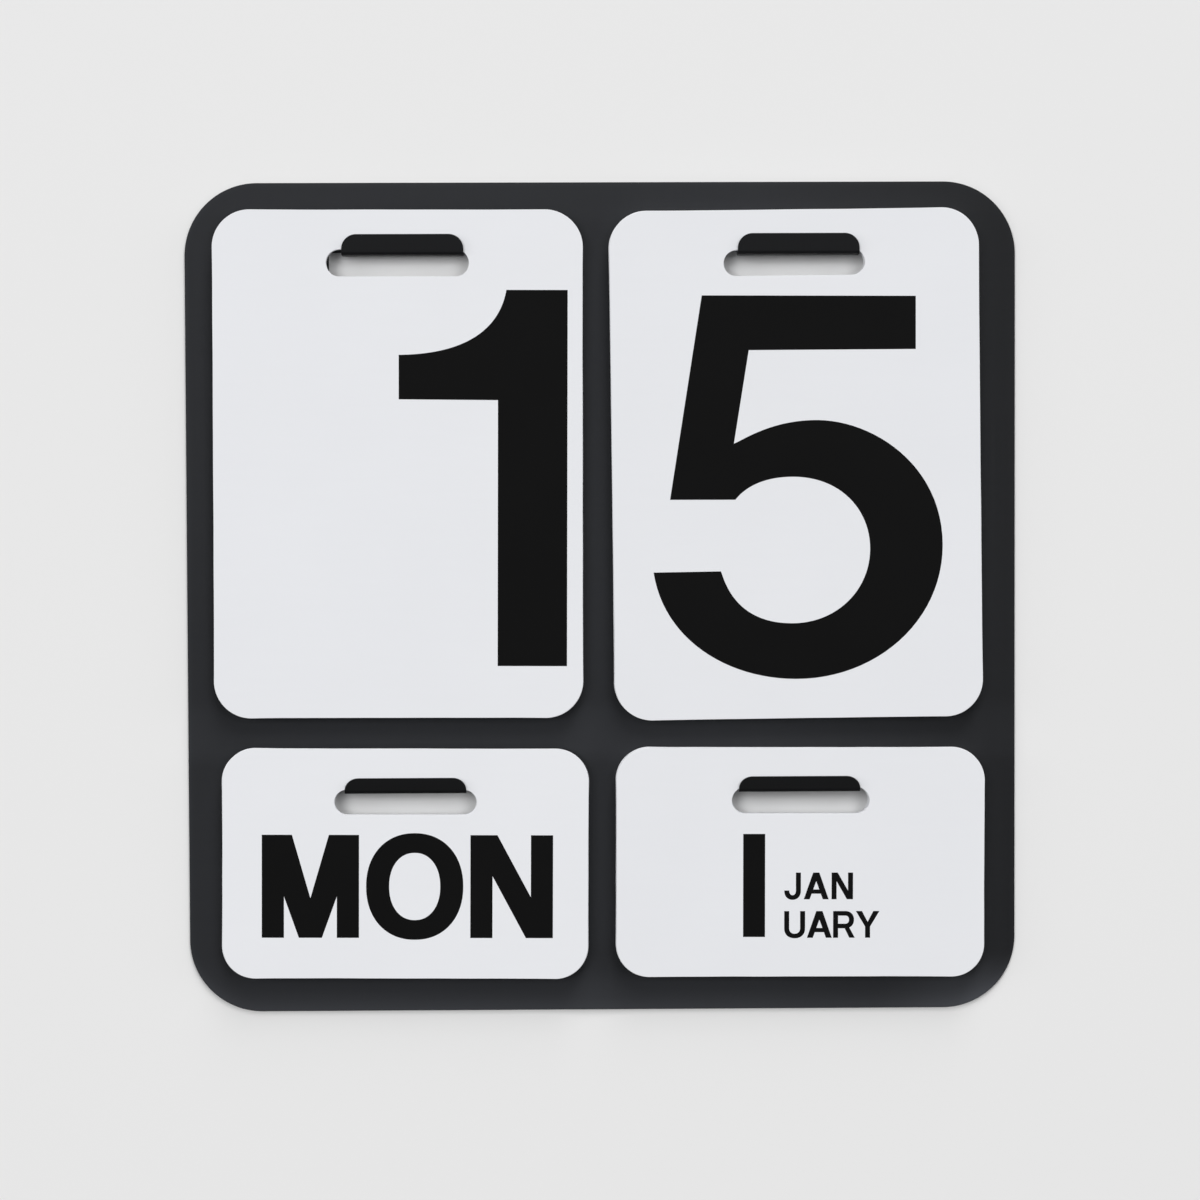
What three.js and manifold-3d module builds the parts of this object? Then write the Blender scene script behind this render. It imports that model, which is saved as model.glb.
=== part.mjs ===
// Perpetual wall calendar: a square sheet-metal plate with four hooks punched out of it, and four
// packs of slotted plastic cards that hang on the hooks (tens, units, weekday, month).
// Millimetres, +Z up. The plate stands in the XZ plane, its back face at y = 0 against the wall and
// its front towards -Y. The origin is the centre of the plate's back face.

import * as THREE from "three";
import { mergeVertices } from "three/addons/utils/BufferGeometryUtils.js";
import Module from "manifold-3d";

// ---- plate ----
const PLATE_SIZE = 315;
const PLATE_CORNER_R = 27.5;
const SHEET = 1; // sheet thickness

// ---- hooks ----
const HOOK_X = 74.75; // hooks stand at x = -HOOK_X and +HOOK_X
const HOOK_WIDTH = 46;
const HOOK_REACH = 7.5; // plate's front face to the lip's front face
const BEND_R = 0.3; // inside radius of both bends
const LIP_CORNER_R = 5.2;
const UPPER_LEDGE_Z = 130.7; // top surface of the upper ledges
const UPPER_LIP_Z = 137.55; // top edge of the upper lips
const LOWER_LEDGE_Z = -72.8;
const LOWER_LIP_Z = -67.9;
const WINDOW_WIDTH = 56.4; // hole that the tab was cut from
const WINDOW_CORNER_R = 2;
const RELIEF_ABOVE_FOLD = 0.1; // the side notches run this far past the fold
const CUT_GAP = 0.8; // kerf between the flat tab's end and the window's lower edge

// ---- holes for two wall screws, behind the upper cards ----
const SCREW_HOLE_R = 2.5;
const SCREW_HOLE_X = 74.6;
const SCREW_HOLE_Z = 98;

// ---- cards ----
const CARD_T = 0.4;
const CARD_PITCH = 0.5; // card plus the air behind the next one
const FRONT_CARD_Y = -HOOK_REACH + 0.3; // front card's front, just clear of the lip's inner face
// Each pack is cut as a batch of its own. w, h and r are the card's outline, slotTop is from the
// card's top edge down to the slot's top edge.
const TENS_CARD = { w: 139.75, h: 192.15, r: 14.2, slotW: 53.95, slotH: 10.15, slotTop: 15.1 };
const UNITS_CARD = { w: 139.8, h: 192.7, r: 14.2, slotW: 53.5, slotH: 9.75, slotTop: 15.25 };
const WEEKDAY_CARD = { w: 138.85, h: 87.55, r: 12.5, slotW: 54.1, slotH: 9.5, slotTop: 15.6 };
const MONTH_CARD = { w: 140.1, h: 87.35, r: 12.5, slotW: 52.35, slotH: 10.25, slotTop: 14.95 };
const REST_GAP = 0.05; // slot's top edge over the ledge at its nearest point
const CORNER_STEPS = 8;
const SLOT_STEPS = 10;

// How each pack's front card hangs: its centre's x, and its tilt in degrees, anticlockwise seen
// from the front. The cards behind it differ from it by no more than the spreads.
const PACKS = [
  {
    prefix: "tens_card_",
    labels: ["1", "2", "3", "blank"],
    card: TENS_CARD,
    hookX: -HOOK_X,
    ledgeZ: UPPER_LEDGE_Z,
    x: -76.9,
    tilt: -0.157,
    seed: 11,
  },
  {
    prefix: "units_card_",
    labels: ["5", "6", "7", "8", "9", "0", "1", "2", "3", "4"],
    card: UNITS_CARD,
    hookX: HOOK_X,
    ledgeZ: UPPER_LEDGE_Z,
    x: 73.85,
    tilt: 0.535,
    seed: 23,
  },
  {
    prefix: "weekday_card_",
    labels: ["monday", "tuesday", "wednesday", "thursday", "friday", "saturday", "sunday"],
    card: WEEKDAY_CARD,
    hookX: -HOOK_X,
    ledgeZ: LOWER_LEDGE_Z,
    x: -74.95,
    tilt: -0.415,
    seed: 37,
  },
  {
    prefix: "month_card_",
    labels: [
      "january",
      "february",
      "march",
      "april",
      "may",
      "june",
      "july",
      "august",
      "september",
      "october",
      "november",
      "december",
    ],
    card: MONTH_CARD,
    hookX: HOOK_X,
    ledgeZ: LOWER_LEDGE_Z,
    x: 75.15,
    tilt: -0.242,
    seed: 53,
  },
];
const SPREAD_X = 0.2;
const SPREAD_TILT = 0.06;

const wasm = await Module();
wasm.setup();

const plateMaterial = new THREE.MeshStandardMaterial({
  color: 0x2d2e31,
  roughness: 0.55,
  metalness: 0.6,
});
const cardMaterial = new THREE.MeshStandardMaterial({
  color: 0xe7e8ec,
  roughness: 0.5,
  metalness: 0,
});

// ---- outlines ----

// Points of an arc from angle a0 to a1 in degrees, both ends included.
function arc(cx, cy, r, a0, a1, steps) {
  const points = [];
  for (let i = 0; i <= steps; i++) {
    const a = THREE.MathUtils.degToRad(a0 + ((a1 - a0) * i) / steps);
    points.push(new THREE.Vector2(cx + r * Math.cos(a), cy + r * Math.sin(a)));
  }
  return points;
}

function roundedRectangle(w, h, r, steps) {
  const x = w / 2 - r;
  const y = h / 2 - r;
  return [
    ...arc(x, y, r, 0, 90, steps),
    ...arc(-x, y, r, 90, 180, steps),
    ...arc(-x, -y, r, 180, 270, steps),
    ...arc(x, -y, r, 270, 360, steps),
  ];
}

// A slot with fully round ends, its centre at (0, cy).
function obround(w, h, cy, steps) {
  const r = h / 2;
  const x = w / 2 - r;
  return [...arc(x, cy, r, -90, 90, steps), ...arc(-x, cy, r, 90, 270, steps)];
}

// Extrudes an outline drawn in the XZ plane from y = front to y = back.
function slabXZ(outline, holes, front, back) {
  const shape = new THREE.Shape(outline);
  shape.holes = holes.map((points) => new THREE.Path(points));
  const geometry = new THREE.ExtrudeGeometry(shape, {
    depth: back - front,
    bevelEnabled: false,
    curveSegments: 1,
  });
  geometry.rotateX(Math.PI / 2); // drawn y becomes z, and the extrusion runs towards -Y
  geometry.translate(0, back, 0);
  return geometry;
}

// Extrudes a profile drawn as (y, z) along X, centred on x = 0.
function barYZ(profile, width) {
  const geometry = new THREE.ExtrudeGeometry(new THREE.Shape(profile), {
    depth: width,
    bevelEnabled: false,
    curveSegments: 1,
  });
  geometry.translate(0, 0, -width / 2);
  geometry.applyMatrix4(
    new THREE.Matrix4().makeBasis(
      new THREE.Vector3(0, 1, 0),
      new THREE.Vector3(0, 0, 1),
      new THREE.Vector3(1, 0, 0),
    ),
  );
  return geometry;
}

// ---- joining and cutting ----

function solid(geometry) {
  const bare = geometry.clone();
  bare.deleteAttribute("normal");
  bare.deleteAttribute("uv");
  const merged = mergeVertices(bare, 1e-4);
  return new wasm.Manifold(
    new wasm.Mesh({
      numProp: 3,
      vertProperties: new Float32Array(merged.attributes.position.array),
      triVerts: new Uint32Array(merged.index.array),
    }),
  );
}

function geometryOf(manifold) {
  const mesh = manifold.getMesh();
  const geometry = new THREE.BufferGeometry();
  geometry.setAttribute(
    "position",
    new THREE.BufferAttribute(new Float32Array(mesh.vertProperties), 3),
  );
  geometry.setIndex(new THREE.BufferAttribute(new Uint32Array(mesh.triVerts), 1));
  geometry.computeVertexNormals();
  return geometry;
}

// ---- plate with its hooks ----

// The window's outline round a hook's root: a rectangle with two side notches that run past the
// fold line, so the tab stays joined to the plate between them.
function windowOutline(hookX, ledgeZ, bottomZ) {
  const half = WINDOW_WIDTH / 2;
  const tab = HOOK_WIDTH / 2;
  const fold = ledgeZ + BEND_R;
  const top = fold + RELIEF_ABOVE_FOLD;
  const r = WINDOW_CORNER_R;
  const n = 1.5; // the notch's outer corner
  const m = RELIEF_ABOVE_FOLD; // its inner corner turns down straight into the fold
  return [
    ...arc(half - r, bottomZ + r, r, 270, 360, 5),
    ...arc(half - n, top - n, n, 0, 90, 5),
    ...arc(tab + m, fold, m, 90, 180, 4),
    ...arc(-tab - m, fold, m, 0, 90, 4),
    ...arc(-half + n, top - n, n, 90, 180, 5),
    ...arc(-half + r, bottomZ + r, r, 180, 270, 5),
  ].map((p) => p.clone().setX(p.x + hookX));
}

// The bent tab's side profile as (y, z) points: down from the fold, forward as the ledge, up as
// the lip.
function hookProfile(ledgeZ, lipZ) {
  const outer = BEND_R + SHEET;
  const fold = ledgeZ + BEND_R;
  const root = -SHEET - BEND_R; // both bend centres are at z = fold
  const tip = -SHEET - HOOK_REACH + outer;
  return [
    ...arc(root, fold, outer, 0, -90, 7),
    ...arc(tip, fold, outer, 270, 180, 7),
    new THREE.Vector2(tip - outer, lipZ),
    new THREE.Vector2(tip - BEND_R, lipZ),
    ...arc(tip, fold, BEND_R, 180, 270, 6),
    ...arc(root, fold, BEND_R, -90, 0, 6),
    new THREE.Vector2(-SHEET, fold + RELIEF_ABOVE_FOLD / 2),
    new THREE.Vector2(0, fold + RELIEF_ABOVE_FOLD / 2),
  ];
}

// What is cut away outside a lip's round top corner, on the side given by sign.
function lipCornerCut(hookX, ledgeZ, lipZ, sign) {
  const half = HOOK_WIDTH / 2;
  const r = Math.min(LIP_CORNER_R, lipZ - ledgeZ - BEND_R);
  let outline = [
    new THREE.Vector2(half - r, lipZ + 1),
    ...arc(half - r, lipZ - r, r, 90, 0, 8),
    new THREE.Vector2(half + 1, lipZ - r),
    new THREE.Vector2(half + 1, lipZ + 1),
  ];
  if (sign < 0) outline = outline.map((p) => new THREE.Vector2(-p.x, p.y)).reverse();
  outline = outline.map((p) => p.clone().setX(p.x + hookX));
  return slabXZ(outline, [], -SHEET - HOOK_REACH - 1, -SHEET - HOOK_REACH / 2);
}

const hooks = [-1, 1].flatMap((side) =>
  [
    { ledgeZ: UPPER_LEDGE_Z, lipZ: UPPER_LIP_Z },
    { ledgeZ: LOWER_LEDGE_Z, lipZ: LOWER_LIP_Z },
  ].map((row) => ({ x: side * HOOK_X, ...row })),
);

// Length of the flat blank that a hook is bent from, measured from the fold line.
function flatLength(ledgeZ, lipZ) {
  const outer = BEND_R + SHEET;
  const bend = (Math.PI / 2) * (BEND_R + 0.45 * SHEET);
  return 2 * bend + (HOOK_REACH - BEND_R - outer) + (lipZ - ledgeZ - BEND_R);
}

function basePlate() {
  const holes = hooks.map((hook) =>
    windowOutline(
      hook.x,
      hook.ledgeZ,
      hook.ledgeZ + BEND_R - flatLength(hook.ledgeZ, hook.lipZ) - CUT_GAP,
    ),
  );
  for (const side of [-1, 1])
    holes.push(arc(side * SCREW_HOLE_X, SCREW_HOLE_Z, SCREW_HOLE_R, 0, 345, 23));
  let plate = solid(
    slabXZ(roundedRectangle(PLATE_SIZE, PLATE_SIZE, PLATE_CORNER_R, 14), holes, -SHEET, 0),
  );
  for (const hook of hooks) {
    let tab = solid(
      barYZ(hookProfile(hook.ledgeZ, hook.lipZ), HOOK_WIDTH).translate(hook.x, 0, 0),
    );
    for (const sign of [-1, 1])
      tab = tab.subtract(solid(lipCornerCut(hook.x, hook.ledgeZ, hook.lipZ, sign)));
    plate = plate.add(tab);
  }
  return geometryOf(plate);
}

// ---- cards ----

// A small repeatable pseudo-random sequence in -1 ... 1.
function spread(seed) {
  let state = seed;
  return () => {
    state = (state * 1103515245 + 12345) % 2147483648;
    return (state / 2147483648) * 2 - 1;
  };
}

// A card's geometry with its centre at the origin, its back at y = 0.
function cardGeometry(card) {
  const slotZ = card.h / 2 - card.slotTop - card.slotH / 2;
  return slabXZ(
    roundedRectangle(card.w, card.h, card.r, CORNER_STEPS),
    [obround(card.slotW, card.slotH, slotZ, SLOT_STEPS)],
    -CARD_T,
    0,
  );
}

// How high the card's centre must be for its slot to rest on the ledge, when the centre is at x
// and the card is tilted: the slot's roof is looked up over each end of the ledge.
function restingZ(card, x, tilt, hookX, ledgeZ) {
  const a = THREE.MathUtils.degToRad(tilt);
  const slotZ = card.h / 2 - card.slotTop - card.slotH / 2;
  const outline = obround(card.slotW, card.slotH, slotZ, SLOT_STEPS).map(
    (p) =>
      new THREE.Vector2(
        x + p.x * Math.cos(a) - p.y * Math.sin(a),
        p.x * Math.sin(a) + p.y * Math.cos(a),
      ),
  );
  const roof = (at) => {
    let highest = -Infinity;
    outline.forEach((p, i) => {
      const q = outline[(i + 1) % outline.length];
      if ((p.x - at) * (q.x - at) > 0 || p.x === q.x) return;
      highest = Math.max(highest, p.y + ((q.y - p.y) * (at - p.x)) / (q.x - p.x));
    });
    return highest;
  };
  const lowest = Math.min(roof(hookX - HOOK_WIDTH / 2), roof(hookX + HOOK_WIDTH / 2));
  return ledgeZ + REST_GAP - lowest;
}

const calendar = new THREE.Group();

const base = new THREE.Mesh(basePlate(), plateMaterial);
base.name = "base_plate";
calendar.add(base);

for (const pack of PACKS) {
  const stack = new THREE.Group();
  const random = spread(pack.seed);
  const geometry = cardGeometry(pack.card);
  pack.labels.forEach((label, i) => {
    // the first label hangs in front, against the lip, and the last at the back
    const x = pack.x + (i ? SPREAD_X * random() : 0);
    const tilt = pack.tilt + (i ? SPREAD_TILT * random() : 0);
    const card = new THREE.Mesh(geometry, cardMaterial);
    card.name = pack.prefix + label;
    card.position.set(
      x,
      FRONT_CARD_Y + CARD_T + i * CARD_PITCH,
      restingZ(pack.card, x, tilt, pack.hookX, pack.ledgeZ),
    );
    card.rotation.y = -THREE.MathUtils.degToRad(tilt);
    stack.add(card);
  });
  calendar.add(stack);
}

export default calendar;
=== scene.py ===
import math
import random

import bpy
import numpy as np
from mathutils import Matrix, Vector
from mathutils.geometry import delaunay_2d_cdt


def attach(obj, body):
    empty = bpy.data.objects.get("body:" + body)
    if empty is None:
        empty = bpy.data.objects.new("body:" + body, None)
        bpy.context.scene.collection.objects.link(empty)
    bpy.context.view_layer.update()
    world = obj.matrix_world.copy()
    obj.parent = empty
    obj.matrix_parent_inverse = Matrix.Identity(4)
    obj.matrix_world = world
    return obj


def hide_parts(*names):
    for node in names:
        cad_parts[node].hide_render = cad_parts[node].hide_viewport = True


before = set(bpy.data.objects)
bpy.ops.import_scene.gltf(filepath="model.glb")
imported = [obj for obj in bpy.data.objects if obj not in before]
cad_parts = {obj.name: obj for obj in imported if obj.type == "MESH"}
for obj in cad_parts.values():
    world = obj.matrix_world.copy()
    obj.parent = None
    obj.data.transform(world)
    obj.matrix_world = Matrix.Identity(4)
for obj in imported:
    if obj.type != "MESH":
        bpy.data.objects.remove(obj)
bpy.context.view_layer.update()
scene = bpy.context.scene

# Lengths below are in millimetres, as on the drawing, and become metres when a mesh is made.
MM = 0.001

PLATE_SIZE = 315.0
PLATE_CORNER_R = 27.5
SHEET = 1.0
HOOK_X = 74.75
HOOK_WIDTH = 46.0
HOOK_REACH = 7.5
BEND_R = 0.3
LIP_CORNER = {-67.9: (5.2, 4.5), 137.55: (5.6, 5.6)}  # width and height of the lips' round corners
ROWS = ((130.7, 137.55), (-72.8, -67.9))  # ledge and lip heights, upper and lower hooks
WINDOW_WIDTH = 56.4
WINDOW_CORNER_R = 2.0
RELIEF = 0.1
CUT_GAP = 0.8
SCREW_HOLES = ((-74.6, 98.0), (74.6, 98.0))
SCREW_HOLE_R = 2.5
EDGE = 0.09  # how far the sheet's edges are broken

CARD_T = 0.4
# each pack's blank: its outline, and its slot with the slot's top edge below the card's
TENS = dict(w=139.75, h=192.15, r=14.2, slot_w=53.95, slot_h=10.15, slot_top=15.1)
UNITS = dict(w=139.8, h=192.7, r=14.2, slot_w=53.5, slot_h=9.75, slot_top=15.25)
WEEKDAY = dict(w=138.85, h=87.55, r=12.5, slot_w=54.1, slot_h=9.5, slot_top=15.6)
MONTH = dict(w=140.1, h=87.35, r=12.5, slot_w=52.35, slot_h=10.25, slot_top=14.95)
INK_PROUD = 0.02
INK_SUNK = 0.004

PACKS = {
    "tens_card_": (TENS, ["1", "2", "3", "blank"]),
    "units_card_": (UNITS, ["5", "6", "7", "8", "9", "0", "1", "2", "3", "4"]),
    "weekday_card_": (
        WEEKDAY,
        ["monday", "tuesday", "wednesday", "thursday", "friday", "saturday", "sunday"],
    ),
    "month_card_": (
        MONTH,
        [
            "january",
            "february",
            "march",
            "april",
            "may",
            "june",
            "july",
            "august",
            "september",
            "october",
            "november",
            "december",
        ],
    ),
}


# ---------------------------------------------------------------- outlines


def arc(cx, cz, r, a0, a1, steps):
    """Points of an arc in degrees, both ends included."""
    return [
        (
            cx + r * math.cos(math.radians(a0 + (a1 - a0) * i / steps)),
            cz + r * math.sin(math.radians(a0 + (a1 - a0) * i / steps)),
        )
        for i in range(steps + 1)
    ]


def rounded_rectangle(w, h, r, steps):
    x, z = w / 2 - r, h / 2 - r
    return (
        arc(x, z, r, 0, 90, steps)
        + arc(-x, z, r, 90, 180, steps)
        + arc(-x, -z, r, 180, 270, steps)
        + arc(x, -z, r, 270, 360, steps)
    )


def clean(loop, least=1e-4):
    out = []
    for p in loop:
        if not out or math.dist(p, out[-1]) > least:
            out.append(p)
    if math.dist(out[0], out[-1]) <= least:
        out.pop()
    return out


def split_long(loop, longest):
    """The closed loop with points added, so that no side is longer than longest."""
    out = []
    for i, p in enumerate(loop):
        q = loop[(i + 1) % len(loop)]
        n = max(1, math.ceil(math.dist(p, q) / longest))
        out += [(p[0] + (q[0] - p[0]) * k / n, p[1] + (q[1] - p[1]) * k / n) for k in range(n)]
    return out


def offset(loop, d):
    """The closed loop moved by d to the left of its own direction, corners mitred."""
    n = len(loop)
    out = []
    for i in range(n):
        a, b, c = Vector(loop[i - 1]), Vector(loop[i]), Vector(loop[(i + 1) % n])
        u, v = (b - a).normalized(), (c - b).normalized()
        nu, nv = Vector((-u.y, u.x)), Vector((-v.y, v.x))
        m = (nu + nv) / max(0.2, 1 + nu.dot(nv))
        out.append((b.x + m.x * d, b.y + m.y * d))
    return out


def fill(loops, inner_edges=()):
    """Triangles of the region inside loops[0] and outside the others, over their joined points."""
    points, edges = [], []
    for loop in loops:
        base = len(points)
        points += [Vector(p) for p in loop]
        edges += [(base + i, base + (i + 1) % len(loop)) for i in range(len(loop))]
    ring = [(points[a], points[b]) for a, b in edges]
    edges += list(inner_edges)
    coords, _, tris, orig_verts, _, _ = delaunay_2d_cdt(points, edges, [], 0, 1e-7, True)
    if len(coords) != len(points):
        raise RuntimeError(f"an outline crosses itself: {len(points)} points became {len(coords)}")
    back = [o[0] for o in orig_verts]
    tris = np.array([[back[i] for i in tri] for tri in tris])
    at = np.array([tuple(p) for p in points])
    a, b, c = at[tris[:, 0]], at[tris[:, 1]], at[tris[:, 2]]
    double = (b[:, 0] - a[:, 0]) * (c[:, 1] - a[:, 1]) - (b[:, 1] - a[:, 1]) * (c[:, 0] - a[:, 0])
    mid = (a + b + c) / 3
    p = np.array([tuple(e[0]) for e in ring])
    q = np.array([tuple(e[1]) for e in ring])
    # a point is in the region if a ray from it crosses the loops an odd number of times
    u, v = mid[:, 0][:, None], mid[:, 1][:, None]
    spans = (p[:, 1][None] > v) != (q[:, 1][None] > v)
    rise = np.where(q[:, 1] == p[:, 1], 1.0, q[:, 1] - p[:, 1])[None]
    cross = p[:, 0][None] + (v - p[:, 1][None]) * (q[:, 0] - p[:, 0])[None] / rise
    inside = ((spans & (u < cross)).sum(1) % 2) == 1
    wanted = abs(sum(p[:, 0] * q[:, 1] - p[:, 1] * q[:, 0])) / 2
    got = abs(double[inside]).sum() / 2
    if abs(wanted - got) > 1e-4 * wanted:
        raise RuntimeError(f"a region of {wanted:.3f} mm2 was filled with {got:.3f} mm2")
    out = []
    for tri, keep, d in zip(tris.tolist(), inside, double):
        if keep:
            out.append(tuple(tri) if d > 0 else tuple(reversed(tri)))
    return out


# ---------------------------------------------------------------- meshes


def make_object(name, points, faces, materials, smooth=False, face_material=None):
    mesh = bpy.data.meshes.new(name)
    mesh.from_pydata([(x * MM, y * MM, z * MM) for x, y, z in points], [], faces)
    if mesh.validate():
        raise RuntimeError(f"{name}: its mesh was not sound")
    for material in materials:
        mesh.materials.append(material)
    if face_material is not None:
        mesh.polygons.foreach_set("material_index", face_material)
    mesh.polygons.foreach_set("use_smooth", [smooth] * len(mesh.polygons))
    mesh.update()
    ob = bpy.data.objects.new(name, mesh)
    scene.collection.objects.link(ob)
    if smooth:
        weighted = ob.modifiers.new("flats", "WEIGHTED_NORMAL")
        weighted.mode = "FACE_AREA"
        weighted.weight = 100
        weighted.keep_sharp = True
    return ob


def sheet_solid(loops, thickness, edge, place, rows=(), steps=3):
    """A closed sheet. Loops are its outline (anticlockwise) and its holes (clockwise) in the flat, so
    that the material is always on their left. place(u, v, w) gives the point at flat (u, v), w being
    0 on the front and thickness on the back. Edges are rounded by edge."""
    sizes = [len(loop) for loop in loops]
    total = sum(sizes)
    rings = []  # (inset, depth) from the front's rim to the back's rim
    for k in range(steps + 1):
        t = math.pi / 2 * k / steps
        rings.append((edge * (1 - math.sin(t)), edge * (1 - math.cos(t))))
    rings += [(i, thickness - d) for i, d in reversed(rings)]
    points = []
    for inset, depth in rings:
        for loop in loops:
            points += [place(u, v, depth) for u, v in (offset(loop, inset) if inset else loop)]
    rim = [offset(loop, edge) for loop in loops]
    tris = fill([rim[0]] + [r for r in rim[1:]], rows)
    last = (len(rings) - 1) * total
    front = [t for t in tris]
    back = [tuple(last + i for i in reversed(t)) for t in tris]
    walls = []
    for k in range(len(rings) - 1):
        base = 0
        for n in sizes:
            for i in range(n):
                a, b = base + i, base + (i + 1) % n
                walls.append((k * total + a, (k + 1) * total + a, (k + 1) * total + b, k * total + b))
            base += n
    return points, front, back, walls


# ---------------------------------------------------------------- materials


def principled(name):
    material = bpy.data.materials.new(name)
    material.use_nodes = True
    tree = material.node_tree
    return material, tree, tree.nodes["Principled BSDF"]


class Nodes:
    """Short hands for building a node tree."""

    def __init__(self, tree):
        self.tree = tree

    def add(self, kind, **props):
        node = self.tree.nodes.new(kind)
        for key, value in props.items():
            setattr(node, key, value)
        return node

    def put(self, socket, value):
        if isinstance(value, bpy.types.NodeSocket):
            self.tree.links.new(value, socket)
        else:
            socket.default_value = value

    def math(self, op, a, b=None, clamp=False):
        node = self.add("ShaderNodeMath", operation=op, use_clamp=clamp)
        self.put(node.inputs[0], a)
        if b is not None:
            self.put(node.inputs[1], b)
        return node.outputs[0]

    def ramp(self, value, lo, hi, out_lo, out_hi, smooth=False):
        node = self.add("ShaderNodeMapRange", clamp=True)
        if smooth:
            node.interpolation_type = "SMOOTHSTEP"
        for socket, v in zip(node.inputs[:5], (value, lo, hi, out_lo, out_hi)):
            self.put(socket, v)
        return node.outputs[0]

    def object_point(self):
        return self.add("ShaderNodeTexCoord").outputs["Object"]

    def scaled(self, vector, scale, location=(0, 0, 0), rotation=(0, 0, 0)):
        node = self.add("ShaderNodeMapping")
        self.put(node.inputs["Vector"], vector)
        node.inputs["Scale"].default_value = scale
        node.inputs["Location"].default_value = location
        node.inputs["Rotation"].default_value = rotation
        return node.outputs[0]

    def noise(self, vector, scale, detail=2.0, roughness=0.5):
        node = self.add("ShaderNodeTexNoise")
        self.put(node.inputs["Vector"], vector)
        node.inputs["Scale"].default_value = scale
        node.inputs["Detail"].default_value = detail
        node.inputs["Roughness"].default_value = roughness
        return node.outputs[0]

    def mix(self, factor, a, b):
        node = self.add("ShaderNodeMix", data_type="RGBA")
        self.put(node.inputs[0], factor)
        self.put(node.inputs[6], a)
        self.put(node.inputs[7], b)
        return node.outputs[2]

    def scale_colour(self, colour, factor):
        """colour times a grey factor."""
        node = self.add("ShaderNodeVectorMath", operation="SCALE")
        self.put(node.inputs[0], colour)
        self.put(node.inputs["Scale"], factor)
        return node.outputs[0]

    def bump(self, height, distance, strength=1.0):
        node = self.add("ShaderNodeBump")
        self.put(node.inputs["Height"], height)
        node.inputs["Distance"].default_value = distance
        node.inputs["Strength"].default_value = strength
        return node.outputs[0]


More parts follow.
